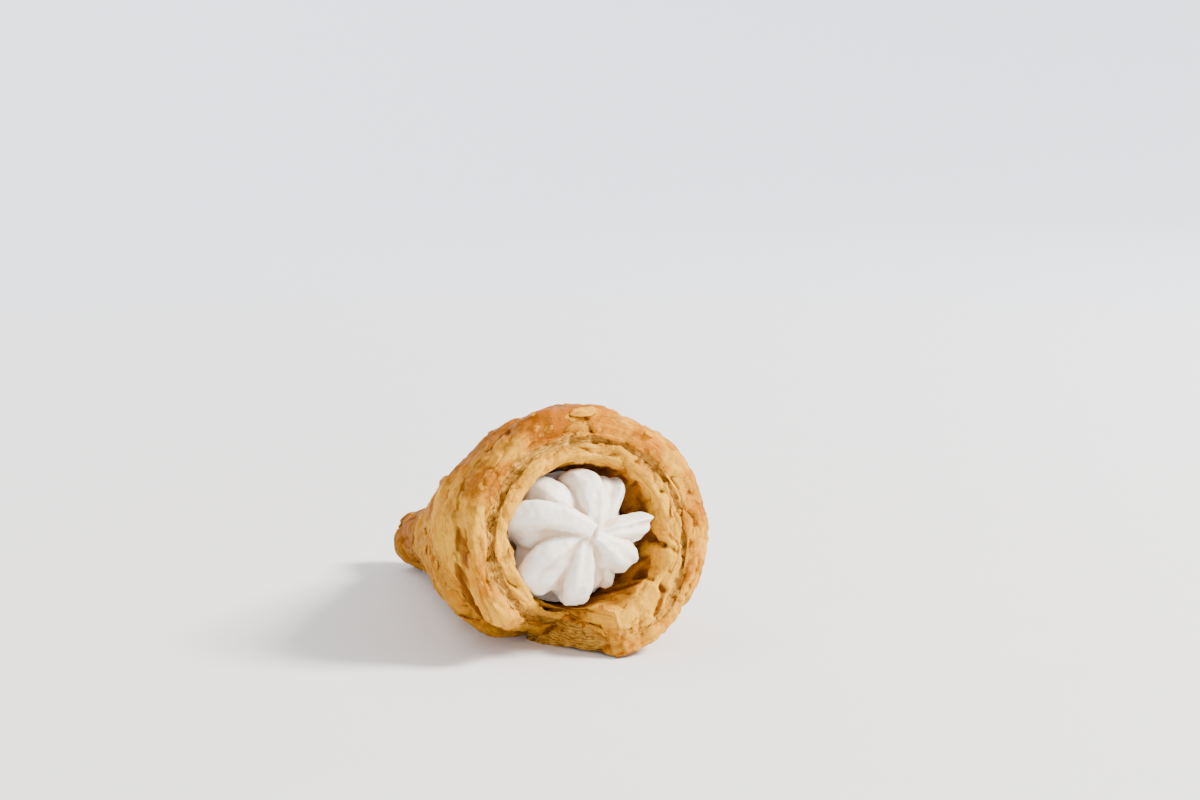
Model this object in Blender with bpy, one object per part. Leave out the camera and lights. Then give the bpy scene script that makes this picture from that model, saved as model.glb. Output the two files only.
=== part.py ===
"""A cream horn: one strip of puff pastry wound on a cone, baked on its side and filled with piped cream.

Sizes are in metres. A depth is measured along the horn's axis, back from the plane of its mouth, and a
radius outwards from that axis. A turn counts back along the strip, from 0 at its cut end under the mouth.
"""

import math

import bmesh
import bpy
from mathutils import Vector

# The horn as a whole
HORN_LENGTH = 0.111
MOUTH_CENTRE = Vector((-0.0012, -0.0506, 0.0290))
AXIS_DROP = math.radians(11.7)
BODY_RADIUS = 0.0290
TIP_RADIUS = 0.0078
TIP_ROUNDING = 0.007
TIP_BLUNTNESS = 2.5
SIDEWAYS_SAG = 0.08

# The strip, wound from the tip to the mouth
TURNS = 5
CUT_END_ANGLE = math.radians(256)
CUT_END_SLANT = math.radians(24)
CUT_END_REAR = 0.018
CUT_END_FLARE = 0.008
PITCH_POWER = 1.1
EDGE_STEP = 0.0036
SMOOTH_FROM_TURN = 4.7
STEP_FADE = 0.6
EDGE_OVERHANG = 0.5
TURN_BULGE = 0.0010

# The rolled lip round the mouth
LIP_RADIUS = 0.0303
LIP_LIFT = 0.0013
LIP_ASIDE = 0.0008
FRONT_AT_CUT = -0.0020
FRONT_AT_START = 0.0025
LIP_LENGTH = 0.0055
INNER_LIP_LENGTH = 0.0045
LIP_CURL = 0.0020
GROOVE_RADIUS = 0.0232
GROOVE_WIDTH = 0.0012
GROOVE_DEPTH = 0.0028
UNDER_FROM_TURN = 0.7
SLAB_TURN = 0.14
SLAB_SWELL = 0.0015
SLAB_STEP = 0.0030
SLAB_GROOVE_DEPTH = 0.0003
SLAB_SQUARENESS = 0.6
SINK_START = 0.83
SINK_TURN = 0.15
SINK_DEPTH = 0.0105
SINK_SLOPE = 0.0080
SINK_RADIUS = 0.0052
SUNK_LIP_LENGTH = 0.0030
SUNK_GROOVE = 0.0030

# The hollow that the cone left
HOLE_RADIUS = 0.0174
WALL_INSET = 0.0003
WALL_START = 0.0195
HOLLOW_DEPTH = 0.098
HOLLOW_TIP_RADIUS = 0.0030

# The piped cream
CREAM_GAP = 0.0004
CREAM_FRONT = -0.0010
CREAM_DOME = 0.0095
CREAM_DOME_SPREAD = math.radians(118)
CREAM_DIMPLE = 0.0010
CREAM_COLUMN_START = 0.0200
CREAM_COLUMN_END = 0.0970
STAR_ASIDE = 0.0012
PETAL_VALLEY = 0.0105
PETAL_RISE = 0.0030
PETAL_RISE_END = 1.2
PETAL_ROUNDNESS = 0.7
PETAL_CURL = math.radians(34)

# Each petal of the star: its angle and half its width in degrees, its reach, and how far it stands forward
PETALS = (
    (12, 24, 0.0168, 1.0),
    (58, 21, 0.0158, 0.7),
    (97, 22, 0.0146, 1.0),
    (133, 24, 0.0166, 0.4),
    (183, 31, 0.0170, 1.0),
    (233, 18, 0.0160, 0.7),
    (266, 18, 0.0158, 0.9),
    (303, 20, 0.0160, 1.0),
    (335, 15, 0.0140, 0.6),
)

# How finely the surfaces are faceted
COLUMNS = 56
EDGE_STEPS = 3
BAND_STEPS = 4
LIP_STEPS = 4
WALL_STEPS = 7
CREAM_COLUMNS = 70
CREAM_DOME_STEPS = 12
CREAM_COLUMN_STEPS = 7
WELD_DISTANCE = 0.00005


def mix(a, b, share):
    return a + (b - a) * share


def smooth(share):
    share = min(1.0, max(0.0, share))
    return share * share * (3 - 2 * share)


def placed(depth, radius, angle):
    """The point at this depth, radius and angle round the axis, but never below the tray."""
    sag = 1 + SIDEWAYS_SAG * max(0.0, 1 - depth / HORN_LENGTH)
    up = radius * math.sin(angle)
    point = MOUTH_CENTRE + Vector(
        (
            radius * math.cos(angle) * sag,
            depth * math.cos(AXIS_DROP) + up * math.sin(AXIS_DROP),
            up * math.cos(AXIS_DROP) - depth * math.sin(AXIS_DROP),
        )
    )
    point.z = max(point.z, 0.0)
    return point


def slab(turn):
    """1 at the strip's cut end, which lies flat on the tray, falling to 0 where the strip curves up."""
    return 1 - smooth(turn / SLAB_TURN)


def rear_edge(turn):
    """The depth of the strip's rear edge, which lies over the turn before it."""
    share = min(1.0, turn / TURNS)
    return mix(CUT_END_REAR, HORN_LENGTH, share**PITCH_POWER) + CUT_END_FLARE * slab(turn)


def strip_angle(turn, depth):
    """The angle round the axis. The cut end is slanted, so its front starts further round than its rear."""
    slant = (rear_edge(0) - depth) / (rear_edge(0) - FRONT_AT_CUT)
    return CUT_END_ANGLE + 2 * math.pi * turn + CUT_END_SLANT * min(1.0, max(0.0, slant))


def cone_radius(depth):
    """The horn's outer radius, halfway up the strip's steps."""
    share = min(1.0, depth / HORN_LENGTH)
    into_tip = max(0.0, (depth - HORN_LENGTH + TIP_ROUNDING) / TIP_ROUNDING)
    body = mix(TIP_RADIUS, BODY_RADIUS, (1 + math.cos(math.pi * share)) / 2)
    return body * math.sqrt(max(0.0, 1 - into_tip**TIP_BLUNTNESS))


def step_height(turn):
    return EDGE_STEP * max(0.0, 1 - turn / SMOOTH_FROM_TURN) ** STEP_FADE + SLAB_STEP * slab(turn)


def sunk(turn):
    """0 round most of the mouth, rising to 1 where the strip goes down behind its own cut end."""
    return smooth((turn - SINK_START) / SINK_TURN)


def lip_front(turn):
    return mix(FRONT_AT_CUT, FRONT_AT_START, turn) + SINK_DEPTH * sunk(turn)


def lip_outer_radius(turn):
    angle = strip_angle(turn, FRONT_AT_CUT)
    skew = LIP_LIFT * math.sin(angle) + LIP_ASIDE * math.cos(angle)
    return LIP_RADIUS + skew + SLAB_SWELL * slab(turn) - SINK_RADIUS * sunk(turn)


def lip_length(turn):
    return mix(LIP_LENGTH, SUNK_LIP_LENGTH, sunk(turn))


def gone_under(turn):
    """0 round most of the last turn, rising to 1 where the strip's own cut end covers it."""
    return smooth((turn - UNDER_FROM_TURN) / (1 - UNDER_FROM_TURN))


def band_front(turn):
    """Where a turn's outer face goes under the next turn or, on the last one, curls into the lip."""
    if turn >= 1:
        return rear_edge(turn - 1)
    return mix(lip_front(turn) + lip_length(turn) + LIP_CURL, rear_edge(0), gone_under(turn))


def band_front_radius(turn):
    if turn >= 1:
        return cone_radius(rear_edge(turn - 1)) - step_height(turn - 1) / 2
    covered = cone_radius(rear_edge(0)) - step_height(0) / 2
    return mix(lip_outer_radius(turn), covered, gone_under(turn))


def room_over_tray(turn, rear, crease, step):
    """How much of a rear edge's step stands clear of the tray: 1 for all of it and 0 for none."""
    down = -math.sin(strip_angle(turn, rear)) * math.cos(AXIS_DROP)
    if down <= 0:
        return 1.0
    reach = (MOUTH_CENTRE.z - rear * math.sin(AXIS_DROP)) / down
    return min(1.0, max(0.0, (reach - crease) / max(step, WELD_DISTANCE)))


def band_profile(turn):
    """(depth, radius) across one turn, from the crease under its rear edge to where its outer face ends."""
    rear, front, step = rear_edge(turn), band_front(turn), step_height(turn)
    middle = cone_radius(rear)
    overhang = EDGE_OVERHANG * step * room_over_tray(turn, rear, middle - step / 2, step)
    points = []
    for i in range(EDGE_STEPS):
        around = math.pi * (i / EDGE_STEPS - 0.5)
        points.append((rear + overhang * math.cos(around), middle + step / 2 * math.sin(around)))
    front_offset = band_front_radius(turn) - cone_radius(front)
    for i in range(BAND_STEPS):
        share = (i / BAND_STEPS) ** (2 if turn >= TURNS else 1)
        depth = mix(rear, front, share)
        bulge = TURN_BULGE * 4 * share * (1 - share) * min(1.0, 2 * step / EDGE_STEP)
        points.append((depth, cone_radius(depth) + mix(step / 2, front_offset, share) + bulge))
    return points


def half_round(front, outer, inner, outer_length, inner_length, squareness):
    """(depth, radius) over a rounded ridge, from its outer side over its front to its inner side."""
    points = []
    for i in range(2 * LIP_STEPS + 1):
        around = math.pi / 2 * (1 - i / LIP_STEPS)
        forward = abs(math.cos(around)) ** squareness
        aside = math.copysign(abs(math.sin(around)) ** squareness, around)
        length = outer_length if around > 0 else inner_length
        points.append((front + length * (1 - forward), mix(inner, outer, (1 + aside) / 2)))
    return points


def lip_profile(turn):
    """(depth, radius) over the lip: where it starts, the outer lip, the groove and the inner lip."""
    front, outer = lip_front(turn), lip_outer_radius(turn)
    squareness = mix(1.0, SLAB_SQUARENESS, slab(turn))
    groove = mix(GROOVE_DEPTH, SLAB_GROOVE_DEPTH, smooth(2 * slab(turn)))
    middle = GROOVE_RADIUS - SUNK_GROOVE * sunk(turn)
    outer_lip = half_round(front, outer, middle + GROOVE_WIDTH, lip_length(turn), groove, squareness)
    inner_lip = half_round(front, middle - GROOVE_WIDTH, HOLE_RADIUS, groove, INNER_LIP_LENGTH, squareness)
    slope = SINK_SLOPE * sunk(turn) / (outer - HOLE_RADIUS)
    sloped = [(depth + slope * (radius - HOLE_RADIUS), radius) for depth, radius in outer_lip + inner_lip]
    return [(band_front(turn), band_front_radius(turn)), *sloped]


def hollow_radius(depth):
    """The radius that the cone left, at this depth."""
    share = (depth - WALL_START) / (HOLLOW_DEPTH - WALL_START)
    return mix(HOLE_RADIUS - WALL_INSET, HOLLOW_TIP_RADIUS, max(0.0, share))


def walked(row):
    """How far along a row of vertices each one is, from 0 to 1."""
    lengths = [0.0]
    for here, there in zip(row, row[1:]):
        lengths.append(lengths[-1] + (there.co - here.co).length)
    return [length / lengths[-1] for length in lengths]


def zipped(first, second):
    """Triangles between two rows of vertices that share their ends, walked along at an even pace."""
    pace, other_pace = walked(first), walked(second)
    faces, i, j = [], 0, 0
    while i < len(first) - 1 or j < len(second) - 1:
        if j == len(second) - 1 or (i < len(first) - 1 and pace[i + 1] <= other_pace[j + 1]):
            faces.append((first[i], first[i + 1], second[j]))
            i += 1
        else:
            faces.append((first[i], second[j + 1], second[j]))
            j += 1
    return faces


def strips_between(left, right):
    return [(left[i], left[i + 1], right[i + 1], right[i]) for i in range(len(left) - 1)]


def pastry():
    """The wound strip as one closed skin: its turns, the lip, the hollow and the cut end."""
    mesh = bmesh.new()

    def column(profile, turn):
        return [mesh.verts.new(placed(depth, radius, strip_angle(turn, depth))) for depth, radius in profile]

    tip = mesh.verts.new(placed(HORN_LENGTH, 0, 0))
    hollow_end = mesh.verts.new(placed(HOLLOW_DEPTH + HOLLOW_TIP_RADIUS, 0, 0))
    places = [c / COLUMNS for c in range(COLUMNS)]
    depths = [mix(WALL_START, HOLLOW_DEPTH, i / (WALL_STEPS - 1)) for i in range(WALL_STEPS)]
    bands = [[column(band_profile(k + place), place) for place in places] for k in range(TURNS + 1)]
    walls = [column([(d, hollow_radius(d)) for d in depths], place) + [hollow_end] for place in places]
    walls.append(walls[0])
    lips = [column(lip_profile(place), place) for place in places]
    crease = bands[0][0][0]
    lips.append([crease, *column(lip_profile(1)[1:], 1)])

    def band_column(k, c):
        """A turn's column and the vertex that follows it. One round further, a turn is the one before it."""
        if c == COLUMNS:
            k, c = k + 1, 0
        if k > TURNS:
            return [tip] * (EDGE_STEPS + BAND_STEPS + 1)
        first = tip if k == TURNS else bands[k][c][0]
        last = lips[c][0] if k == 0 else bands[k - 1][c][0]
        return [first, *bands[k][c][1:], last]

    faces = []
    for c in range(COLUMNS):
        for k in range(TURNS + 1):
            faces += strips_between(band_column(k, c), band_column(k, c + 1))
        faces += strips_between(lips[c] + walls[c], lips[c + 1] + walls[c + 1])
    faces += zipped([*bands[0][0], *lips[0], walls[0][0]], [*lips[COLUMNS], walls[0][0]])
    return meshed("pastry", mesh, faces)


def meshed(name, mesh, faces):
    """An object of these faces, with the ones that have no area left out."""
    for face in faces:
        corners = [vertex for i, vertex in enumerate(face) if vertex is not face[i - 1]]
        if len(set(corners)) >= 3 and mesh.faces.get(corners) is None:
            mesh.faces.new(corners)
    bmesh.ops.remove_doubles(mesh, verts=mesh.verts, dist=WELD_DISTANCE)
    bmesh.ops.dissolve_degenerate(mesh, edges=mesh.edges, dist=WELD_DISTANCE)
    bmesh.ops.delete(mesh, geom=[v for v in mesh.verts if not v.link_faces], context="VERTS")
    bmesh.ops.triangulate(mesh, faces=mesh.faces)
    bmesh.ops.recalc_face_normals(mesh, faces=mesh.faces)
    data = bpy.data.meshes.new(name)
    mesh.to_mesh(data)
    mesh.free()
    data.shade_smooth()
    obj = bpy.data.objects.new(name, data)
    bpy.context.scene.collection.objects.link(obj)
    return obj


def petal(angle):
    """(reach, stand) of the star at this angle. The stand is 1 along a petal's ridge and 0 in a groove."""
    best = (PETAL_VALLEY, 0.0)
    for middle, half_width, reach, rise in PETALS:
        away = math.remainder(angle - math.radians(middle), 2 * math.pi) / math.radians(half_width)
        if abs(away) < 1:
            ridge = math.cos(math.pi / 2 * away) ** PETAL_ROUNDNESS
            best = max(best, (mix(PETAL_VALLEY, reach, ridge), rise * ridge))
    return best


def cream():
    """The piped star in the mouth and the column behind it, which fills the hollow to its end."""
    mesh = bmesh.new()
    centre = mesh.verts.new(placed(CREAM_FRONT + CREAM_DIMPLE, STAR_ASIDE, 0))
    deep_end = mesh.verts.new(placed(HOLLOW_DEPTH - CREAM_GAP, 0, 0))
    columns = []
    for c in range(CREAM_COLUMNS):
        angle = 2 * math.pi * c / CREAM_COLUMNS
        reach, stand = petal(angle)
        column = []
        for i in range(1, CREAM_DOME_STEPS + 1):
            share = i / CREAM_DOME_STEPS
            around = share * CREAM_DOME_SPREAD
            radius = math.sin(around) * mix(PETAL_VALLEY, reach, min(1, 2 * share))
            depth = CREAM_FRONT + CREAM_DOME * (1 - math.cos(around))
            depth -= PETAL_RISE * math.sin(math.pi * min(1.0, share * PETAL_RISE_END)) * (stand - 0.5)
            point = placed(depth, radius, angle - PETAL_CURL * (1 - share))
            point.x += STAR_ASIDE * (1 - share) ** 2
            column.append(mesh.verts.new(point))
        for i in range(CREAM_COLUMN_STEPS):
            depth = mix(CREAM_COLUMN_START, CREAM_COLUMN_END, i / (CREAM_COLUMN_STEPS - 1))
            column.append(mesh.verts.new(placed(depth, hollow_radius(depth) - CREAM_GAP, angle)))
        columns.append([centre, *column, deep_end])
    faces = []
    for left, right in zip(columns, columns[1:] + columns[:1]):
        faces += strips_between(left, right)
    return meshed("cream", mesh, faces)


def finished(obj, name, colour, roughness):
    """Gives the object its material."""
    material = bpy.data.materials.new(name)
    material.use_nodes = True
    shader = material.node_tree.nodes["Principled BSDF"]
    shader.inputs["Base Color"].default_value = (*colour, 1)
    shader.inputs["Roughness"].default_value = roughness
    obj.data.materials.append(material)


for old in list(bpy.data.objects):
    bpy.data.objects.remove(old)
finished(pastry(), "baked_puff_pastry", (0.62, 0.36, 0.13), 0.55)
finished(cream(), "whipped_cream", (0.90, 0.86, 0.78), 0.5)
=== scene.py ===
"""The looks of a cream horn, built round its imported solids. Sizes are in metres."""

import math
import random

import bmesh
import bpy
import numpy as np
from mathutils import Matrix, Vector, noise


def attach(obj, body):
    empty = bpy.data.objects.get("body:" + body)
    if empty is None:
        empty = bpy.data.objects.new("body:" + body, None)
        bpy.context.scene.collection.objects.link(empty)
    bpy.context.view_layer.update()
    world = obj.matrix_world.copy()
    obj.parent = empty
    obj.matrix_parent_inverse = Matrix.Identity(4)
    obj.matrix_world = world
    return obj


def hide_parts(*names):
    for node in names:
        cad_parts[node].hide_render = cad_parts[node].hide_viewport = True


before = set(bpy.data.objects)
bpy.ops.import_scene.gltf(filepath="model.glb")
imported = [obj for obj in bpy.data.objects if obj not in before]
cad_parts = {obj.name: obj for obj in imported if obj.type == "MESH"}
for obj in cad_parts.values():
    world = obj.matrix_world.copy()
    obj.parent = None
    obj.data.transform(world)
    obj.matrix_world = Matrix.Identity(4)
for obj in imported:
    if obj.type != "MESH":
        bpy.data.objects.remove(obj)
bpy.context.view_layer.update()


# The pastry: a strip of puff pastry wound on a metal cone from its tip, each turn over the rear of the last,
# brushed with egg and baked on its side, with its cut end pressed flat under the mouth. A depth runs back
# along the axis, a radius outwards, and a turn counts back along the strip from that cut end.
HORN_LENGTH = 0.111
MOUTH_CENTRE = Vector((-0.0012, -0.0506, 0.0290))
AXIS_DROP = math.radians(11.7)
SIDEWAYS_SAG = 0.08
TURNS = 5
CUT_END_ANGLE = math.radians(256)
CUT_END_SLANT = math.radians(24)
FRONT_AT_CUT = -0.0020
HOLE_RADIUS = 0.0174


def mix(a, b, share):
    return a + (b - a) * share


def smooth(share):
    share = min(1.0, max(0.0, share))
    return share * share * (3 - 2 * share)


def placed(depth, radius, angle):
    """The point at this depth, radius and angle round the axis, but never below the tray."""
    sag = 1 + SIDEWAYS_SAG * max(0.0, 1 - depth / HORN_LENGTH)
    up = radius * math.sin(angle)
    y = depth * math.cos(AXIS_DROP) + up * math.sin(AXIS_DROP)
    z = up * math.cos(AXIS_DROP) - depth * math.sin(AXIS_DROP)
    point = MOUTH_CENTRE + Vector((radius * math.cos(angle) * sag, y, z))
    point.z = max(point.z, 0.0)
    return point


SLAB_TURN = 0.14
SINK_START = 0.83
SINK_TURN = 0.15
UNDER_FROM_TURN = 0.7
UNDER_TURN = 0.3


def slab(turn):
    """1 at the strip's cut end, which lies flat on the tray, falling to 0 where the strip curves up."""
    return 1 - smooth(turn / SLAB_TURN)


def sunk(turn):
    """0 round most of the mouth, rising to 1 where the strip goes down behind its own cut end."""
    return smooth((turn - SINK_START) / SINK_TURN)


def gone_under(turn):
    """0 round most of the last turn, rising to 1 where the strip's own cut end covers it."""
    return smooth((turn - UNDER_FROM_TURN) / UNDER_TURN)


CUT_END_REAR = 0.018
CUT_END_FLARE = 0.008
PITCH_POWER = 1.1


def rear_edge(turn):
    """The depth of the strip's rear edge, which lies over the turn before it."""
    share = min(1.0, turn / TURNS)
    return mix(CUT_END_REAR, HORN_LENGTH, share**PITCH_POWER) + CUT_END_FLARE * slab(turn)


def strip_angle(turn, depth):
    """The angle round the axis. The cut end is slanted, so its front starts further round than its rear."""
    slant = (rear_edge(0) - depth) / (rear_edge(0) - FRONT_AT_CUT)
    return CUT_END_ANGLE + 2 * math.pi * turn + CUT_END_SLANT * min(1.0, max(0.0, slant))


BODY_RADIUS = 0.0290
TIP_RADIUS = 0.0078
TIP_ROUNDING = 0.007
TIP_BLUNTNESS = 2.5


def cone_radius(depth):
    """The horn's outer radius, halfway up the strip's steps."""
    share = min(1.0, depth / HORN_LENGTH)
    into_tip = max(0.0, (depth - HORN_LENGTH + TIP_ROUNDING) / TIP_ROUNDING)
    body = mix(TIP_RADIUS, BODY_RADIUS, (1 + math.cos(math.pi * share)) / 2)
    return body * math.sqrt(max(0.0, 1 - into_tip**TIP_BLUNTNESS))


EDGE_STEP = 0.0036
SMOOTH_FROM_TURN = 4.7
STEP_FADE = 0.6
SLAB_STEP = 0.0030


def step_height(turn):
    return EDGE_STEP * max(0.0, 1 - turn / SMOOTH_FROM_TURN) ** STEP_FADE + SLAB_STEP * slab(turn)


FRONT_AT_START = 0.0025
LIP_RADIUS = 0.0303
LIP_LIFT = 0.0013
LIP_ASIDE = 0.0008
LIP_LENGTH = 0.0055
LIP_CURL = 0.0020
SLAB_SWELL = 0.0015
SINK_DEPTH = 0.0105
SINK_RADIUS = 0.0052
SUNK_LIP_LENGTH = 0.0030


def lip_front(turn):
    return mix(FRONT_AT_CUT, FRONT_AT_START, turn) + SINK_DEPTH * sunk(turn)


def lip_outer_radius(turn):
    angle = strip_angle(turn, FRONT_AT_CUT)
    skew = LIP_LIFT * math.sin(angle) + LIP_ASIDE * math.cos(angle)
    return LIP_RADIUS + skew + SLAB_SWELL * slab(turn) - SINK_RADIUS * sunk(turn)


def lip_length(turn):
    return mix(LIP_LENGTH, SUNK_LIP_LENGTH, sunk(turn))


def band_front(turn):
    """Where a turn's outer face goes under the next turn or, on the last one, curls into the lip."""
    if turn >= 1:
        return rear_edge(turn - 1)
    return mix(lip_front(turn) + lip_length(turn) + LIP_CURL, rear_edge(0), gone_under(turn))


def band_front_radius(turn):
    if turn >= 1:
        return cone_radius(rear_edge(turn - 1)) - step_height(turn - 1) / 2
    covered = cone_radius(rear_edge(0)) - step_height(0) / 2
    return mix(lip_outer_radius(turn), covered, gone_under(turn))


EDGE_STEPS = 9
BAND_STEPS = 24
TURN_BULGE = 0.0040


def band_profile(turn):
    """(depth, radius) across one turn, from the crease under its rear edge to where its outer face ends."""
    rear, front, step = rear_edge(turn), band_front(turn), step_height(turn)
    middle = cone_radius(rear)
    down = -math.sin(strip_angle(turn, rear)) * math.cos(AXIS_DROP)
    room = 1.0
    if down > 0:
        reach = (MOUTH_CENTRE.z - rear * math.sin(AXIS_DROP)) / down
        room = min(1.0, max(0.0, (reach - middle + step / 2) / max(step, 0.0001)))
    points = []
    for i in range(EDGE_STEPS):
        around = math.pi * (i / EDGE_STEPS - 0.5)
        points.append((rear + step * room / 2 * math.cos(around), middle + step / 2 * math.sin(around)))
    front_offset = band_front_radius(turn) - cone_radius(front)
    for i in range(BAND_STEPS):
        share = (i / BAND_STEPS) ** (2 if turn >= TURNS else 1)
        depth = mix(rear, front, share)
        bulge = TURN_BULGE * share * (1 - share) * min(1.0, 2 * step / EDGE_STEP)
        points.append((depth, cone_radius(depth) + mix(step / 2, front_offset, share) + bulge))
    return points


LIP_STEPS = 13
GROOVE_STEPS = 6
INNER_LIP_LENGTH = 0.0045
GROOVE_RADIUS = 0.0232
GROOVE_DEPTH = 0.0012
GROOVE_BOW = 0.0026
BOW_ANGLE = math.radians(306)
NARROW_GROOVE = 0.0004
WIDE_GROOVE = 0.0009
SLAB_GROOVE_DEPTH = 0.0003
SQUARE_EDGE = 0.6
SUNK_GROOVE = 0.0030
SINK_SLOPE = 0.0080


def half_round(front, outer, inner, outer_length, inner_length, outer_square, inner_square):
    """(depth, radius) over a rounded ridge, from its outer side over its front to its inner side."""
    points = []
    for i in range(2 * LIP_STEPS + 1):
        around = math.pi / 2 * (1 - i / LIP_STEPS)
        squareness = outer_square if around > 0 else inner_square
        forward = abs(math.cos(around)) ** squareness
        aside = math.copysign(abs(math.sin(around)) ** squareness, around)
        length = outer_length if around > 0 else inner_length
        points.append((front + length * (1 - forward), mix(inner, outer, (1 + aside) / 2)))
    return points


def lip_profile(turn):
    """(depth, radius) over the lip: where it starts, the outer lip, the groove and the inner lip."""
    front, outer = lip_front(turn), lip_outer_radius(turn)
    squareness = mix(1.0, SQUARE_EDGE, slab(turn))
    groove = mix(GROOVE_DEPTH, SLAB_GROOVE_DEPTH, smooth(2 * slab(turn)))
    from_bow = math.remainder(strip_angle(turn, front) - BOW_ANGLE, 2 * math.pi)
    bow = GROOVE_BOW * math.exp(-((from_bow / 0.45) ** 2)) * (1 - sunk(turn))
    middle = GROOVE_RADIUS - SUNK_GROOVE * sunk(turn) + bow
    leftward = smooth(0.5 - 0.7 * math.cos(strip_angle(turn, front)))
    half_width = mix(NARROW_GROOVE, WIDE_GROOVE, leftward) * (1 - 0.6 * slab(turn))
    outer_lip = half_round(
        front, outer, middle + half_width, lip_length(turn), groove, squareness, SQUARE_EDGE
    )
    inner_lip = half_round(
        front, middle - half_width, HOLE_RADIUS, groove, INNER_LIP_LENGTH, SQUARE_EDGE, squareness
    )
    seam = []
    for i in range(1, GROOVE_STEPS):
        radius = mix(outer_lip[-1][1], inner_lip[0][1], i / GROOVE_STEPS)
        seam.append((front + groove, radius))
    slope = SINK_SLOPE * sunk(turn) / (outer - HOLE_RADIUS)
    profile = outer_lip + seam + inner_lip
    sloped = [(depth + slope * (radius - HOLE_RADIUS), radius) for depth, radius in profile]
    return [(band_front(turn), band_front_radius(turn)), *sloped]


WALL_STEPS = 14
WALL_START = 0.0072
WALL_END = 0.0400
WALL_INSET = 0.0001
WALL_END_RADIUS = 0.0128


def wall_profile():
    """(depth, radius) down the hollow that the cone left, as far as it can be seen past the cream."""
    points = []
    for i in range(WALL_STEPS):
        share = i / (WALL_STEPS - 1)
        radius = mix(HOLE_RADIUS - WALL_INSET, WALL_END_RADIUS, share)
        points.append((mix(WALL_START, WALL_END, share), radius))
    return points


COLUMNS = 320
CUT_ROWS = 34


class Skin:
    """A mesh in the making, with what each vertex's surface is and its place along and across the strip."""

    NAMES = ("crumb", "layer", "inside", "along", "across", "tone", "crease")

    def __init__(self):
        self.mesh = bmesh.new()
        self.layers = {name: self.mesh.verts.layers.float.new(name) for name in self.NAMES}

    def vertex(self, point, **values):
        made = self.mesh.verts.new(point)
        for name, value in values.items():
            made[self.layers[name]] = value
        return made

    def face(self, corners):
        corners = [vertex for i, vertex in enumerate(corners) if vertex is not corners[i - 1]]
        if len(set(corners)) >= 3 and self.mesh.faces.get(corners) is None:
            self.mesh.faces.new(corners)


def band_vertices(skin, turn):
    column = []
    for i, (depth, radius) in enumerate(band_profile(turn)):
        edge = 1 - smooth((i - EDGE_STEPS + 2) / 3)
        share = max(0.0, (i - EDGE_STEPS) / BAND_STEPS)
        # Painted shade: the end of each band, under the next turn's rear edge or the cut end, is marked to be
        # painted darker.
        crease = smooth((share - 0.80) / 0.20)
        if turn < 1:
            crease = gone_under(turn) * smooth((share - 0.7) / 0.3)
        point = placed(depth, radius, strip_angle(turn, depth))
        column.append(skin.vertex(point, crumb=edge, layer=radius, along=turn, across=depth, crease=crease))
    return column


def lip_vertices(skin, turn):
    """The lip's column of vertices. Its seam, where the strip's long edge shows, is the crumbly part."""
    column = []
    profile = lip_profile(turn)
    middle = len(profile) / 2
    for i, (depth, radius) in enumerate(profile):
        from_seam = max(0.0, abs(i - middle) - GROOVE_STEPS / 2)
        crumb = (1 - smooth((from_seam - 0.5) / 2.5)) * (1 - 0.8 * slab(turn))
        # How far the profile runs into the hollow; the crust paints this a little darker, as painted shade.
        inside = smooth((i / len(profile) - 0.86) / 0.14)
        tone = -0.7 * smooth((i - middle) / 6) * (1 - inside)
        point = placed(depth, radius, strip_angle(turn, depth))
        values = {"crumb": crumb, "layer": radius, "inside": 0.1 * inside, "along": turn, "tone": tone}
        column.append(skin.vertex(point, across=radius, **values))
    return column


def wall_vertices(skin, turn):
    column = []
    for depth, radius in wall_profile():
        point = placed(depth, radius, strip_angle(turn, depth))
        # How far into the hollow the wall lies; the crust paints it a darker brown there, as painted shade.
        inside = mix(0.1, 1.0, smooth((depth - 0.007) / 0.015))
        column.append(skin.vertex(point, layer=radius, inside=inside, along=turn, across=depth))
    return column


def reached(row):
    """How far along a row of vertices each one is, from 0 to 1."""
    lengths = [0.0]
    for here, there in zip(row, row[1:]):
        lengths.append(lengths[-1] + (there.co - here.co).length)
    return [length / lengths[-1] for length in lengths]


def partners(outer, inner):
    """For each vertex round the cut end, the one that it meets on the turn over it, with none left out."""
    reach = reached(inner)
    found = []
    j = 0
    for i, share in enumerate(reached(outer)):
        left_over = len(inner) - 1 - j
        behind = left_over > len(outer) - 1 - i
        if i > 0 and left_over > 0 and (behind or (reach[j] + reach[j + 1]) / 2 < share):
            j += 1
        found.append(inner[j])
    return found


CUT_END_OUTWARD = Vector((-0.93, -0.36, 0))
CUT_END_BULGE = 0.0011
CRUST_ON_CUT = 0.0022


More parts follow.
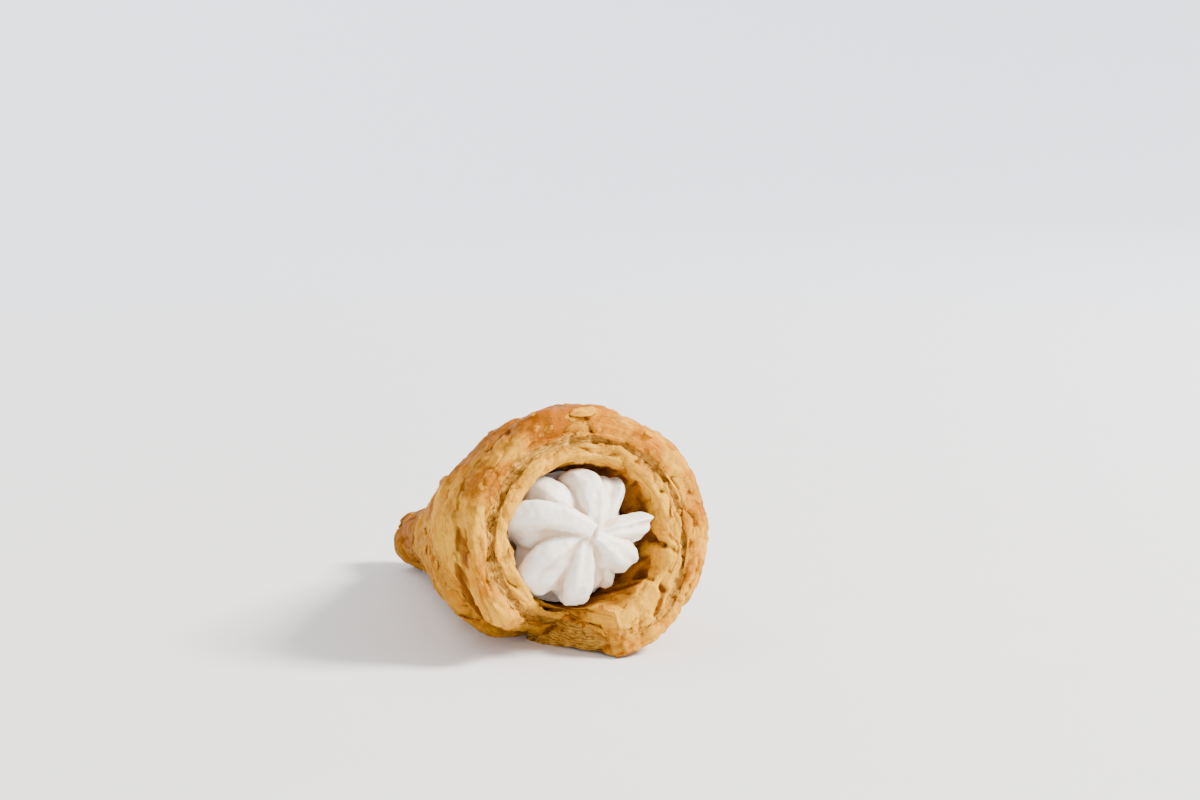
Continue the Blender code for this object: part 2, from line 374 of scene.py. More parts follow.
def cut_end(skin, outer, inner):
    """The strip's cut end, a grid from the skin round it to where it meets the turn that it lies under."""
    front_skin = [vertex.co.copy() for vertex in outer[EDGE_STEPS + BAND_STEPS + 1:]]
    grid = []
    for i, (near, far, share) in enumerate(zip(outer, partners(outer, inner), reached(outer))):
        if near is far:
            grid.append([near] * (CUT_ROWS + 1))
            continue
        row = [near]
        for j in range(1, CUT_ROWS):
            across = j / CUT_ROWS
            point = near.co.lerp(far.co, across)
            bulge = CUT_END_OUTWARD * CUT_END_BULGE * math.sin(math.pi * across) ** 0.6
            point += bulge * math.sin(math.pi * share)
            radius = (Vector((point.x, point.z)) - Vector((MOUTH_CENTRE.x, MOUTH_CENTRE.z))).length
            skin_reach = 0.0216 + 0.0040 * smooth((-0.0470 - point.y) / 0.0080)
            from_front = min((point - place).length for place in front_skin)
            crumb = smooth((radius - skin_reach) / 0.0012) * smooth(across / 0.08)
            crumb *= smooth((from_front - CRUST_ON_CUT) / 0.001)
            values = {"crumb": crumb, "layer": radius, "along": 0.004 * i, "across": radius, "tone": 0.1}
            row.append(skin.vertex(point, **values))
        grid.append([*row, far])
    for left, right in zip(grid, grid[1:]):
        for j in range(CUT_ROWS):
            skin.face([left[j], left[j + 1], right[j + 1], right[j]])
    return [row[j] for row in grid for j in range(3)]


def even_out(mesh, verts, rounds):
    axes = {"use_axis_x": True, "use_axis_y": True, "use_axis_z": True}
    for _ in range(rounds):
        bmesh.ops.smooth_vert(mesh, verts=verts, factor=0.5, **axes)


CORNER_COLUMNS = 9
CORNER_ROUNDS = 12
UPPER_CORNER = 0.003
UPPER_CORNER_ROUNDS = 22
WELD_DISTANCE = 0.000002


def wound_strip():
    """The whole strip as one closed skin, with the corner of its cut end rounded."""
    skin = Skin()
    tip = skin.vertex(placed(HORN_LENGTH, 0, 0), along=TURNS)
    places = [c / COLUMNS for c in range(COLUMNS)]
    bands = [[band_vertices(skin, k + place) for place in places] for k in range(TURNS + 1)]
    lips = [lip_vertices(skin, place) for place in places]
    walls = [wall_vertices(skin, place) for place in places]
    walls.append(walls[0])
    lips.append([bands[0][0][0], *lip_vertices(skin, 1)[1:]])

    def band_column(k, c):
        if c == COLUMNS:
            k, c = k + 1, 0
        if k > TURNS:
            return [tip] * (EDGE_STEPS + BAND_STEPS + 1)
        first = tip if k == TURNS else bands[k][c][0]
        last = lips[c][0] if k == 0 else bands[k - 1][c][0]
        return [first, *bands[k][c][1:], last]

    for c in range(COLUMNS):
        pairs = [(band_column(k, c), band_column(k, c + 1)) for k in range(TURNS + 1)]
        pairs.append((lips[c] + walls[c], lips[c + 1] + walls[c + 1]))
        for left, right in pairs:
            for i in range(len(left) - 1):
                skin.face([left[i], left[i + 1], right[i + 1], right[i]])

    hollow_end = skin.vertex(placed(WALL_END + 0.0002, 0, 0), inside=1.0)
    for left, right in zip(walls, walls[1:]):
        skin.face([left[-1], hollow_end, right[-1]])

    outer = [*bands[0][0], *lips[0], walls[0][0]]
    corner = cut_end(skin, outer, [*lips[COLUMNS], walls[0][0]])
    for c in range(CORNER_COLUMNS):
        corner += bands[0][c] + lips[c][:2 * LIP_STEPS + GROOVE_STEPS + 8]
    even_out(skin.mesh, list(set(corner)), CORNER_ROUNDS)
    upper_corner = [vertex for vertex in set(corner) if vertex.co.z > UPPER_CORNER]
    even_out(skin.mesh, upper_corner, UPPER_CORNER_ROUNDS)
    bmesh.ops.remove_doubles(skin.mesh, verts=skin.mesh.verts, dist=WELD_DISTANCE)
    loose = [vertex for vertex in skin.mesh.verts if not vertex.link_faces]
    bmesh.ops.delete(skin.mesh, geom=loose, context="VERTS")
    bmesh.ops.recalc_face_normals(skin.mesh, faces=skin.mesh.faces)
    return skin


DRIFT_OFFSETS = (Vector((9.3, 1.5, 7.9)), Vector((4.1, 8.7, 2.3)), Vector((6.6, 3.2, 5.4)))


def drift(point):
    """A vector that wanders smoothly from place to place."""
    return Vector([noise.noise(point + offset) for offset in DRIFT_OFFSETS])


def torn(point, size, seed):
    """Torn top leaves: noise cut into terraces with steep edges."""
    warp = drift(point / size * 2.3 + Vector((seed, 3, 7))) * 0.35
    height = 2.4 * noise.noise(point / size + warp + Vector((seed, 0, 0)))
    level = math.floor(height)
    return level + smooth((height - level) / 0.18)


def relief(skin, vertex):
    """How far the surface stands out here from its smooth form."""
    point = vertex.co
    names = ("crumb", "inside", "layer", "along", "across")
    crumb, inside, layer, along, across = (vertex[skin.layers[name]] for name in names)
    warp = drift(point / 0.006)
    lumps = 0.00095 * noise.noise(point / 0.014) + 0.00048 * noise.noise(point / 0.0055 + Vector((5, 0, 0)))
    flakes = 0.00038 * torn(point, 0.009, 11) + 0.00024 * torn(point, 0.005, 23)
    streaks = 0.00022 * noise.noise(Vector((along * 14, across / 0.0014, 2)))
    wrinkles = -0.00095 * (1 - abs(noise.noise(Vector((along * 9, across / 0.0042, 6)) + 0.5 * warp))) ** 6
    radial = -0.00050 * (1 - abs(noise.noise(Vector((along * 62, across * 60, 8))))) ** 4 * inside
    bands = layer / 0.00062 + 1.2 * noise.noise(point / 0.005)
    leaves = 0.00015 * math.sin(2 * math.pi * bands) * (0.5 + noise.noise(point / 0.003 + Vector((9, 0, 0))))
    ragged = 0.00060 * noise.noise(point / 0.0012) + 0.00055 * noise.noise(point / 0.0030)
    skin_relief = lumps * (1 - 0.6 * inside) + (flakes + wrinkles) * (1 - 0.8 * inside) + streaks + radial
    return mix(skin_relief, lumps + leaves + ragged - 0.0002, crumb) - 0.0003


# Cracks, creases and dents in the skin: each a line between two places, its half width and depth, all in mm.
# They are cut into the surface and also painted darker in it, as painted shade.
MARKS = (
    ((1.0, -43.7, 57.9), (2.4, -44.6, 53.0), 0.6, 0.9),
    ((14.0, -47.0, 26.5), (18.2, -51.5, 25.4), 0.7, 1.3),
    ((18.2, -51.5, 25.4), (21.0, -52.4, 23.6), 0.6, 0.9),
    ((13.7, -45.4, 17.5), (14.6, -47.5, 17.0), 1.3, 1.8),
    ((14.6, -47.5, 17.0), (16.8, -53.0, 14.6), 0.7, 0.9),
    ((16.8, -53.0, 14.6), (13.8, -56.0, 9.5), 0.7, 0.8),
    ((-32.7, -44.4, 31.5), (-32.3, -44.7, 24.3), 1.5, 0.9),
    ((-9.1, 50.3, 8.8), (-12.3, 34.0, 11.2), 0.8, 0.5),
    ((-12.3, 34.0, 11.2), (-11.8, 27.4, 20.6), 0.8, 0.5),
)

# Places that baked paler or browner than the rest, and one of painted light: middle and radius in mm, and the
# tone from -1 to 1.
SPOTS = (
    ((-11.6, -40.5, 56.5), 8, 1.3),
    ((2.0, -40.0, 59.0), 10, 0.5),
    ((20.0, -42.0, 50.0), 9, 0.5),
    ((31.0, -46.0, 33.0), 12, 0.35),
    ((-29.0, -46.5, 33.0), 6, -0.8),
    ((-30.0, -40.0, 22.0), 9, -0.4),
    ((-26.5, -43.6, 46.2), 7, 0.3),
    ((-9.0, 48.0, 14.0), 10, 0.9),
    ((-8.0, 52.0, 3.0), 6, -0.5),
    ((-21.0, -46.0, 14.0), 5, -0.5),
    # Painted light: this one makes the top of the flattened cut end paler where it lies in shade.
    ((2.0, -50.0, 11.5), 7, -0.9),
    ((24.0, -50.0, 26.0), 8, -0.4),
)


def away_from(points, start, end):
    """How far each point lies from a line drawn on the skin between two places."""
    nearest = np.full(len(points), 1.0)
    for share in np.linspace(0, 1, 14):
        place = (np.array(start) * (1 - share) + np.array(end) * share) / 1000
        distance = np.linalg.norm(points - place, axis=1)
        on_skin = points[np.argmin(distance)]
        nearest = np.minimum(nearest, np.linalg.norm(points - on_skin, axis=1))
    return nearest


def hollows(data, rounds):
    """How far each vertex lies below the surface round it."""
    count = len(data.vertices)
    points = np.empty(count * 3)
    data.vertices.foreach_get("co", points)
    points = points.reshape(-1, 3)
    normals = np.empty(count * 3)
    data.vertices.foreach_get("normal", normals)
    edges = np.empty(len(data.edges) * 2, dtype=np.int32)
    data.edges.foreach_get("vertices", edges)
    edges = edges.reshape(-1, 2)
    here = np.concatenate([edges[:, 0], edges[:, 1]])
    there = np.concatenate([edges[:, 1], edges[:, 0]])
    number = np.bincount(here, minlength=count)
    evened = points.copy()
    for _ in range(rounds):
        sums = [np.bincount(here, weights=evened[there, axis], minlength=count) for axis in range(3)]
        evened = np.stack(sums, axis=1) / number[:, None]
    return ((evened - points) * normals.reshape(-1, 3)).sum(axis=1)


def store(data, name, values):
    data.attributes.new(name, "FLOAT", "POINT").data.foreach_set("value", values.astype(np.float32))


pastry_skin = wound_strip()
pastry_skin.mesh.normal_update()
FULL_CREASE = 0.0012
points = np.array([vertex.co for vertex in pastry_skin.mesh.verts])
cuts = np.zeros(len(points))
for start, end, half_width, depth in MARKS:
    cuts += depth / 1000 * np.exp(-((away_from(points, start, end) * 1000 / half_width) ** 2))
tones = np.zeros(len(points))
for middle, radius, tone in SPOTS:
    tones += tone * np.exp(-((np.linalg.norm(points * 1000 - middle, axis=1) / radius) ** 2))
moves = []
for i, vertex in enumerate(pastry_skin.mesh.verts):
    moves.append(vertex.normal * (relief(pastry_skin, vertex) - cuts[i]))
    vertex[pastry_skin.layers["tone"]] += tones[i]
    vertex[pastry_skin.layers["crease"]] += min(1.0, cuts[i] / FULL_CREASE)
for vertex, move in zip(pastry_skin.mesh.verts, moves):
    vertex.co += move
    vertex.co.z = max(vertex.co.z, 0.0)
pastry_data = bpy.data.meshes.new("baked_strip")
pastry_skin.mesh.to_mesh(pastry_data)
pastry_skin.mesh.free()
pastry_data.shade_smooth()
# How far each vertex lies below the skin round it: the crust paints these hollows darker, partly as browning
# and partly as painted shade.
PASTRY_HOLLOW_ROUNDS = 24
PASTRY_HOLLOW_DEPTH = 0.00045
store(pastry_data, "hollow", hollows(pastry_data, PASTRY_HOLLOW_ROUNDS) / PASTRY_HOLLOW_DEPTH)
pastry = bpy.data.objects.new("baked_strip", pastry_data)
bpy.context.scene.collection.objects.link(pastry)
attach(pastry, "root")
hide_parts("pastry")


# The baked crust: gold where the egg wash browned, paler where the top leaves tore off, and fawn where the
# cut leaves of the dough show at the seam, the rear edges and the cut end. Shade is painted into it too:
# brown deeper in the hollow, near black in the crumb's pits, dark in the creases under each turn's edge and
# in the cracks, and browner towards the horn's rear; the skin's hollows are darker partly from browning and
# partly from painted shade.
class Wire:
    """A link in a material's node tree. Python's own operators on it add the maths nodes."""

    def __init__(self, tree, socket=None):
        self.tree = tree
        self.socket = socket

    def node(self, kind, settings=None, values=None, out=0):
        made = self.tree.nodes.new(kind)
        for name, value in (settings or {}).items():
            setattr(made, name, value)
        for name, value in (values or {}).items():
            if isinstance(value, Wire):
                self.tree.links.new(value.socket, made.inputs[name])
            else:
                made.inputs[name].default_value = value
        return Wire(self.tree, made.outputs[out])

    def maths(self, operation, *values):
        return self.node("ShaderNodeMath", {"operation": operation}, dict(enumerate((self, *values))))

    def __add__(self, other):
        return self.maths("ADD", other)

    def __sub__(self, other):
        return self.maths("SUBTRACT", other)

    def __mul__(self, other):
        return self.maths("MULTIPLY", other)

    def __rsub__(self, other):
        return self.node("ShaderNodeMath", {"operation": "SUBTRACT"}, {0: other, 1: self})

    __radd__ = __add__
    __rmul__ = __mul__

    def eased(self, low, high):
        """0 below low, 1 above high and smooth between them."""
        settings = {"interpolation_type": "SMOOTHSTEP"}
        return self.node("ShaderNodeMapRange", settings, {"Value": self, "From Min": low, "From Max": high})

    def colour(self, first, second):
        """The first colour where this is 0 and the second where it is 1."""
        return self.node("ShaderNodeMix", {"data_type": "RGBA"}, {0: self, 6: first, 7: second}, out=2)

    def scaled(self, x, y, z):
        return self.node("ShaderNodeVectorMath", {"operation": "MULTIPLY"}, {0: self, 1: (x, y, z)})

    def noise(self, scale, detail=2.0, roughness=0.5):
        values = {"Vector": self, "Scale": scale, "Detail": detail, "Roughness": roughness}
        return self.node("ShaderNodeTexNoise", None, values)


def material(name):
    made = bpy.data.materials.new(name)
    made.use_nodes = True
    shader = made.node_tree.nodes["Principled BSDF"]
    return made, Wire(made.node_tree), shader


def attribute(wire, name):
    return wire.node("ShaderNodeAttribute", {"attribute_name": name}, out=2)


crust, wire, shader = material("baked_crust")
place = wire.node("ShaderNodeTexCoord", out=3)
crumb = attribute(wire, "crumb")
inside = attribute(wire, "inside")
layer = attribute(wire, "layer")
tone = attribute(wire, "tone")
crease = attribute(wire, "crease")
along_strip = attribute(wire, "along") * 0.12
strip = wire.node("ShaderNodeCombineXYZ", None, {0: along_strip, 1: attribute(wire, "across")})
streak = strip.scaled(110, 900, 1).noise(1, 3, 0.6)

blotch = place.noise(110, 4, 0.6).eased(0.36, 0.64)
speckle = place.noise(480, 4, 0.65)
normal = wire.node("ShaderNodeNewGeometry", out=1)
facing_up = wire.node("ShaderNodeSeparateXYZ", None, {0: normal}, out=2).eased(-0.4, 1.0)
bake = blotch * 0.60 + facing_up * 0.12 + speckle * 1.1 + streak * 1.1 + tone * 0.50 - 1.05
bake = bake.eased(0.0, 1.0)
skin_colour = bake.colour((0.72, 0.345, 0.020, 1), (0.57, 0.185, 0.0005, 1))
deep = (place.noise(75, 5, 0.65) + tone * 0.16 + facing_up * 0.04).eased(0.47, 0.63)
skin_colour = (deep * 0.9).colour(skin_colour, (0.31, 0.080, 0.0005, 1))
lines = strip.scaled(45, 1500, 1).noise(1, 4, 0.7).eased(0.54, 0.68)
skin_colour = (lines * 0.65).colour(skin_colour, (0.27, 0.078, 0.001, 1))
torn_edge = place.noise(150, 6, 0.62).eased(0.55, 0.58)
skin_colour = (torn_edge * 0.45).colour(skin_colour, (0.70, 0.33, 0.020, 1))
# Painted shade: the crust turns a darker brown towards the horn's rear and tip.
rear = wire.node("ShaderNodeSeparateXYZ", None, {0: place}, out=1).eased(-0.012, 0.055)
skin_colour = (rear * 0.6).colour(skin_colour, (0.32, 0.115, 0.008, 1))
leaf = ((layer * 1500 + place.noise(260, 4) * 3.0) * (2 * math.pi)).maths("SINE")
# Small pits in the crumb: pressed in by the bump, and painted near black in them as painted shade.
pits_and_shade = place.noise(700, 4, 0.65).eased(0.56, 0.66)
crumb_light = (leaf * 0.12 + speckle * 1.3 - 0.15).eased(0.1, 0.9)
crumb_colour = crumb_light.colour((0.42, 0.175, 0.020, 1), (0.72, 0.370, 0.050, 1))
crumb_colour = (pits_and_shade * 0.6).colour(crumb_colour, (0.11, 0.034, 0.005, 1))
base = crumb.colour(skin_colour, crumb_colour)
# Painted shade: the crust turns a darker brown deeper in the hollow.
base = inside.colour(base, (0.46, 0.150, 0.002, 1))
# The skin's hollows and crevices turn a darker brown: partly browning, partly painted shade.
hollow = attribute(wire, "hollow")
crevice_browning_and_shade = hollow.eased(0.06, 1.15) * (0.9 - crumb * 0.6)
base = crevice_browning_and_shade.colour(base, (0.22, 0.062, 0.002, 1))
# Painted shade: dark brown in the creases under the turns' edges and in the cracks and dents.
base = (crease.eased(0.0, 1.0) * 0.7).colour(base, (0.15, 0.045, 0.005, 1))

fine = place.noise(520, 6, 0.68) * 0.00080 + streak * 0.00075
leaf_edges = leaf * crumb * 0.00012
height = fine + leaf_edges + torn_edge * 0.00022 - pits_and_shade * crumb * 0.0004
bump = wire.node("ShaderNodeBump", None, {"Strength": 1.0, "Distance": 1.0, "Height": height})
tree = crust.node_tree
tree.links.new(base.socket, shader.inputs["Base Color"])
tree.links.new(bump.socket, shader.inputs["Normal"])
gloss = 0.56 - bake * 0.16 + crumb * 0.3
tree.links.new(gloss.socket, shader.inputs["Roughness"])
shader.inputs["Specular IOR Level"].default_value = 0.03
shader.inputs["Subsurface Weight"].default_value = 0.04
shader.inputs["Subsurface Radius"].default_value = (1.0, 0.5, 0.2)
shader.inputs["Subsurface Scale"].default_value = 0.0015
pastry_data.materials.append(crust)


# Loose flakes: thin leaves of the crust that puffed up and dried in the oven and came half away from it. Most
# are at the seam and at the edges of the turns. A long one lies at the top, and one hangs at the lower left.
FLAKE_ROWS = 9
FLAKE_COLUMNS = 6


def flake(mesh, spot, normal, heading, length, width, lift):
    """One thin leaf with a ragged outline, lying on the skin and curling up from it at one side."""
    along = heading - normal * heading.dot(normal)
    along.normalize()
    aside = normal.cross(along)
    rows = []
    for i in range(FLAKE_ROWS):
        u = 2 * i / (FLAKE_ROWS - 1) - 1
        row = []
        for j in range(FLAKE_COLUMNS):
            v = 2 * j / (FLAKE_COLUMNS - 1) - 1
            ragged = 1 + 0.45 * noise.noise(spot * 900 + Vector((2.1 * u, 2.1 * v, 0)))
            across = v * math.sqrt(1 - 0.5 * u * u) * width * ragged
            point = spot + along * (u * math.sqrt(1 - 0.5 * v * v) * length * ragged) + aside * across
            row.append(mesh.verts.new(point + normal * (0.0001 + lift * ((v + 1) / 2) ** 2)))
        rows.append(row)
    for left, right in zip(rows, rows[1:]):
        for j in range(FLAKE_COLUMNS - 1):
            mesh.faces.new([left[j], left[j + 1], right[j + 1], right[j]])


FLAKES = 110
FLAKE_THICKNESS = 0.00015
LOWEST_FLAKE = 0.004
leaves_mesh = bmesh.new()
chosen = random.Random(7)
pastry_vertices = pastry_data.vertices
seam = pastry_data.attributes["crumb"].data
hollow = pastry_data.attributes["inside"].data
placed_flakes = 0
while placed_flakes < FLAKES:
    index = chosen.randrange(len(pastry_vertices))
    spot = pastry_vertices[index].co
    seam_edge = 4 * seam[index].value * (1 - seam[index].value)
    likely = (0.06 + 0.9 * seam_edge) * (1 - 0.8 * smooth(spot.y / 0.03))
    if spot.z < LOWEST_FLAKE or hollow[index].value > 0.3 or chosen.random() > likely:
        continue
    heading = Vector((chosen.uniform(-1, 1), chosen.uniform(-1, 1), chosen.uniform(-1, 1)))
    length = chosen.uniform(0.0004, 0.0013)
    width = length * chosen.uniform(0.4, 0.8)
    flake(leaves_mesh, spot, pastry_vertices[index].normal, heading, length, width, length * 0.35)
    placed_flakes += 1
top_spot, top_normal = Vector((0.0008, -0.0436, 0.0576)), Vector((0, -0.4, 0.9)).normalized()
flake(leaves_mesh, top_spot, top_normal, Vector((1, 0, 0)), 0.0040, 0.0016, 0.0004)
low_spot, low_normal = Vector((-0.0228, -0.0262, 0.0068)), Vector((-0.6, 0.1, -0.8)).normalized()
flake(leaves_mesh, low_spot, low_normal, Vector((0.3, -1, 0.2)), 0.0020, 0.0013, 0.0009)
flakes_data = bpy.data.meshes.new("loose_flakes")
leaves_mesh.to_mesh(flakes_data)
leaves_mesh.free()
flakes_data.shade_smooth()
flakes = bpy.data.objects.new("loose_flakes", flakes_data)
bpy.context.scene.collection.objects.link(flakes)
thickness = flakes.modifiers.new("thickness", "SOLIDIFY")
thickness.thickness = FLAKE_THICKNESS
flakes_data.materials.append(crust)
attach(flakes, "root")


# The cream: sweet whipped cream, piped through a star nozzle into the hollow of the cold pastry. It ends in a
# star whose soft ridged lobes fold over one another, matt and warm white, with warm painted shade in the
# folds.

# Each lobe's angle in degrees, reach and half width, how far its middle stands forward, how much it leans to
# one side and curls round the star in degrees, and how far it drops back towards its end.
LOBES = (
    (6, 0.0156, 0.0031, 0.0012, 12, 4, 0.0026),
    (60, 0.0152, 0.0040, -0.0002, -18, 10, 0.0060),
    (101, 0.0134, 0.0054, 0.0008, -40, 24, 0.0065),
    (121, 0.0158, 0.0040, -0.0030, 6, 6, 0.0070),
    (140, 0.0156, 0.0060, -0.0022, -20, 14, 0.0075),
    (178, 0.0150, 0.0068, 0.0012, -42, 30, 0.0070),
    (206, 0.0158, 0.0044, -0.0026, 8, 10, 0.0060),
    (231, 0.0156, 0.0068, 0.0000, -28, 20, 0.0060),
    (254, 0.0146, 0.0044, -0.0022, 12, 10, 0.0060),
    (277, 0.0137, 0.0058, 0.0005, -24, 16, 0.0065),
    (298, 0.0134, 0.0036, -0.0026, 10, 8, 0.0070),
    (318, 0.0112, 0.0056, 0.0014, 30, 10, 0.0050),
    (331, 0.0136, 0.0046, -0.0020, 10, 8, 0.0070),
)
LOBE_ROWS = 26
LOBE_SIDES = 28
LOBE_THICKNESS = 0.0026
LOBE_SPREAD = math.radians(108)
STAR_FRONT = 0.0012
STAR_ASIDE = 0.0004


def lobe(mesh, angle, reach, half_width, stand, lean, curl, drop):
    """One soft lobe from the star's middle outwards, flattened, and leaning so that one side stands proud."""
    rows = []
    for i in range(LOBE_ROWS):
        share = i / (LOBE_ROWS - 1)
        around = share * LOBE_SPREAD
        radius = math.sin(min(around, math.pi / 2)) * (reach - 0.0020) + 0.0005
        depth = STAR_FRONT - stand + drop * (1 - math.cos(around))
        bearing = math.radians(angle) - math.radians(curl) * (1 - share)
        aside_middle = radius * math.cos(bearing) - STAR_ASIDE * (1 - share)
        middle = Vector((aside_middle, depth, radius * math.sin(bearing)))
        width = 1.15 * half_width * math.sin(math.pi * (0.10 + share**1.2 * 0.74)) ** 0.6
        thick = LOBE_THICKNESS * math.sin(math.pi * min(0.95, 0.16 + share * 0.75)) ** 0.6
        level = math.cos(around)
        outward = Vector((math.cos(bearing) * level, math.sin(around), math.sin(bearing) * level))
        aside = Vector((-math.sin(bearing), 0, math.cos(bearing)))
        forward = outward.cross(aside)
        if forward.y > 0 and around < math.pi / 2:
            forward = -forward
        tilt = Matrix.Rotation(math.radians(lean), 3, outward)
        row = []
        for j in range(LOBE_SIDES):
            turn = 2 * math.pi * j / LOBE_SIDES
            across = math.copysign(abs(math.cos(turn)) ** 0.9, math.cos(turn)) * width
            skewed = 1 + 0.88 * math.copysign(1, lean) * math.cos(turn)
            ridges = 1 + 0.22 * math.cos(6.5 * math.cos(turn) + 2.5 * share + angle)
            proud = math.sin(turn) * thick * skewed * ridges
            row.append(mesh.verts.new(middle + tilt @ (aside * across + forward * proud)))
        rows.append(row)
    for lower, upper in zip(rows, rows[1:]):
        for j in range(LOBE_SIDES):
            mesh.faces.new([lower[j - 1], lower[j], upper[j], upper[j - 1]])
    mesh.faces.new(rows[0])
    mesh.faces.new(list(reversed(rows[-1])))


def from_mouth(point):
    """A point given as across, depth and up from the mouth's centre, placed in the horn."""
    y = point.y * math.cos(AXIS_DROP) + point.z * math.sin(AXIS_DROP)
    z = point.z * math.cos(AXIS_DROP) - point.y * math.sin(AXIS_DROP)
    return MOUTH_CENTRE + Vector((point.x * (1 + SIDEWAYS_SAG), y, z))


CREAM_VOXEL = 0.00033
CREAM_HOLLOW_ROUNDS = 40
CREAM_HOLLOW_DEPTH = 0.00040
star = bmesh.new()
for values in LOBES:
    lobe(star, *values)

# Behind the lobes: a small heart where they meet, a dome under them and a column back into the hollow.
heart = bmesh.ops.create_uvsphere(star, u_segments=24, v_segments=16, radius=0.0030)["verts"]
for vertex in heart:
    vertex.co += Vector((-0.0004, 0.0012, 0.0004))
core = bmesh.ops.create_uvsphere(star, u_segments=32, v_segments=20, radius=1.0)["verts"]
for vertex in core:
    vertex.co = Vector((vertex.co.x * 0.0132, 0.0105 + vertex.co.z * 0.0085, vertex.co.y * 0.0132))
laid_back = Matrix.Rotation(-math.pi / 2, 4, "X")
column = {"radius1": 0.0160, "radius2": 0.0120, "depth": 0.026, "segments": 40, "matrix": laid_back}
back = bmesh.ops.create_cone(star, cap_ends=True, **column)["verts"]
for vertex in back:
    vertex.co.y += 0.0285

for vertex in star.verts:
    vertex.co = from_mouth(vertex.co)
bmesh.ops.recalc_face_normals(star, faces=star.faces)
star_data = bpy.data.meshes.new("piped_star")
star.to_mesh(star_data)
star.free()
cream = bpy.data.objects.new("piped_star", star_data)
bpy.context.scene.collection.objects.link(cream)
remesh = cream.modifiers.new("remesh", "REMESH")
remesh.mode = "VOXEL"
remesh.voxel_size = CREAM_VOXEL
soften = cream.modifiers.new("soften", "SMOOTH")
soften.factor = 0.5
soften.iterations = 2
evaluated = cream.evaluated_get(bpy.context.evaluated_depsgraph_get())
cream_data = bpy.data.meshes.new_from_object(evaluated)
cream.modifiers.clear()
cream.data = cream_data
normals = [vertex.normal.copy() for vertex in cream_data.vertices]
for vertex, normal in zip(cream_data.vertices, normals):
    point = vertex.co
    ragged = smooth((0.018 - point.z) / 0.004) * (1 - abs(noise.noise(point / 0.0028))) ** 3
    ripples = 0.00048 * noise.noise(point / 0.0042) + 0.00014 * noise.noise(point / 0.0015)
    vertex.co = point + normal * (ripples - 0.00040 * ragged)
# How far each vertex lies below the cream round it, for the painted shade in the folds.
store(cream_data, "fold_shade", hollows(cream_data, CREAM_HOLLOW_ROUNDS) / CREAM_HOLLOW_DEPTH)
cream_data.shade_smooth()
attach(cream, "root")
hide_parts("cream")

whipped, wire, shader = material("whipped_cream_soft")
place = wire.node("ShaderNodeTexCoord", out=3)
tone = place.noise(160, 3)
white = tone.eased(0.3, 0.7).colour((0.84, 0.75, 0.61, 1), (0.90, 0.83, 0.71, 1))
# Painted shade: the white turns a darker warm beige in the folds between the lobes.
fold_shade = attribute(wire, "fold_shade")
white = (fold_shade.eased(-0.25, 1.0) * 0.85).colour(white, (0.66, 0.46, 0.28, 1))
airy = place.noise(900, 4, 0.6) * 0.00010 + place.noise(260, 2) * 0.00020
bump = wire.node("ShaderNodeBump", None, {"Strength": 0.8, "Distance": 1.0, "Height": airy})
tree = whipped.node_tree
tree.links.new(white.socket, shader.inputs["Base Color"])
tree.links.new(bump.socket, shader.inputs["Normal"])
gloss = tone.eased(0.3, 0.7) * -0.1 + 0.45
tree.links.new(gloss.socket, shader.inputs["Roughness"])
shader.inputs["Subsurface Weight"].default_value = 0.25
shader.inputs["Subsurface Radius"].default_value = (1.0, 0.8, 0.6)
shader.inputs["Subsurface Scale"].default_value = 0.0012
cream_data.materials.append(whipped)


# The setting: a pale paper floor that curves up into a wall all round, so that it shows no edge, with painted
# shade that makes it darker and warmer round the horn, a soft light high at the right and in front with a
# weaker one on the wall behind, and the photograph's view.
FLAT_RADIUS = 1.3
CURVE = 1.2
SPOKES = 96
backdrop = bmesh.new()
outline = [(FLAT_RADIUS * i / 4, 0.0) for i in range(1, 5)]
for i in range(1, 17):
    up = math.pi / 2 * i / 16
    outline.append((FLAT_RADIUS + CURVE * math.sin(up), CURVE * (1 - math.cos(up))))
middle = backdrop.verts.new((0, 0, 0))
spokes = []
for i in range(SPOKES):
    angle = 2 * math.pi * i / SPOKES
    spokes.append([backdrop.verts.new((r * math.cos(angle), r * math.sin(angle), z)) for r, z in outline])
for i, spoke in enumerate(spokes):
    last = spokes[i - 1]
    backdrop.faces.new([middle, last[0], spoke[0]])
    for j in range(len(outline) - 1):
        backdrop.faces.new([last[j], last[j + 1], spoke[j + 1], spoke[j]])
floor_data = bpy.data.meshes.new("backdrop")
backdrop.to_mesh(floor_data)
backdrop.free()
floor_data.shade_smooth()
floor = bpy.data.objects.new("backdrop", floor_data)
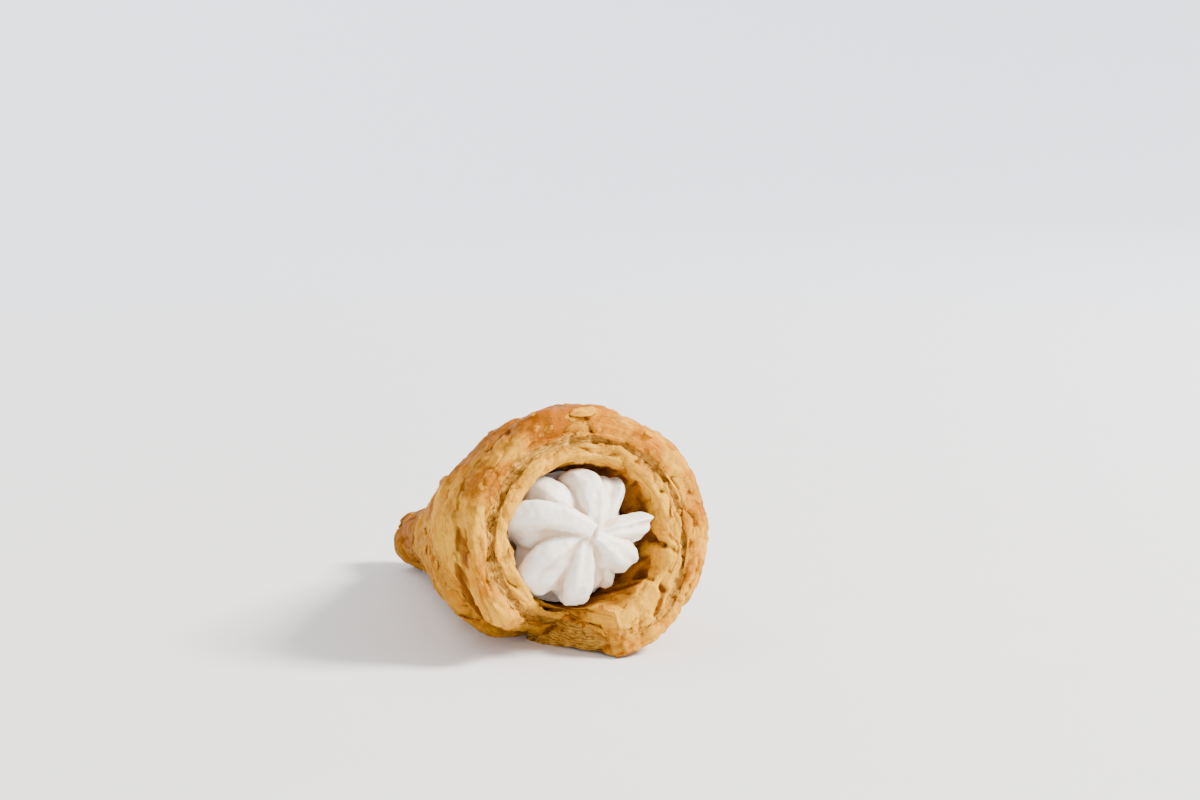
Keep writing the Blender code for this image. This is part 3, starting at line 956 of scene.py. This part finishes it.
bpy.context.scene.collection.objects.link(floor)
paper, wire, shader = material("pale_paper")
place = wire.node("ShaderNodeTexCoord", out=3)
# Painted shade: the paper is a darker warm grey round the horn and a light bluish white further off.
paper_tint_and_shade = place.noise(40, 2).colour((0.77, 0.73, 0.69, 1), (0.79, 0.75, 0.71, 1))
far = place.node("ShaderNodeVectorMath", {"operation": "LENGTH"}, {0: place}, out=1).eased(0.1, 1.2)
paper_tint_and_shade = far.colour(paper_tint_and_shade, (0.91, 0.94, 1.0, 1))
paper.node_tree.links.new(paper_tint_and_shade.socket, shader.inputs["Base Color"])
shader.inputs["Roughness"].default_value = 0.9
floor_data.materials.append(paper)


def area_light(name, spot, aim, size, power):
    lamp = bpy.data.lights.new(name, "AREA")
    lamp.size = size
    lamp.energy = power
    made = bpy.data.objects.new(name, lamp)
    made.location = spot
    made.rotation_euler = (Vector(aim) - Vector(spot)).to_track_quat("-Z", "Y").to_euler()
    bpy.context.scene.collection.objects.link(made)


area_light("key", (1.10, -0.72, 1.12), (0, 0, 0.02), 0.50, 100.0)
area_light("backdrop_light", (-0.6, 1.0, 1.9), (-0.9, 2.2, 0.3), 1.2, 34.0)
world = bpy.data.worlds.new("studio")
world.use_nodes = True
sky = Wire(world.node_tree)
heading = sky.node("ShaderNodeTexCoord", out=0)
height = sky.node("ShaderNodeSeparateXYZ", None, {0: heading}, out=2).eased(0.0, 0.9)
glow = height.colour((1.50, 1.54, 1.66, 1), (2.7, 2.74, 2.86, 1))
world.node_tree.links.new(glow.socket, world.node_tree.nodes["Background"].inputs["Color"])
world.node_tree.nodes["Background"].inputs["Strength"].default_value = 0.42
bpy.context.scene.world = world

camera_data = bpy.data.cameras.new("camera")
camera_data.lens = 70
camera_data.sensor_width = 36
camera = bpy.data.objects.new("camera", camera_data)
camera.location = (-0.2472, -0.5334, 0.1491)
camera.rotation_euler = (math.radians(80.86), 0, math.radians(-27.25))
bpy.context.scene.collection.objects.link(camera)
bpy.context.scene.camera = camera
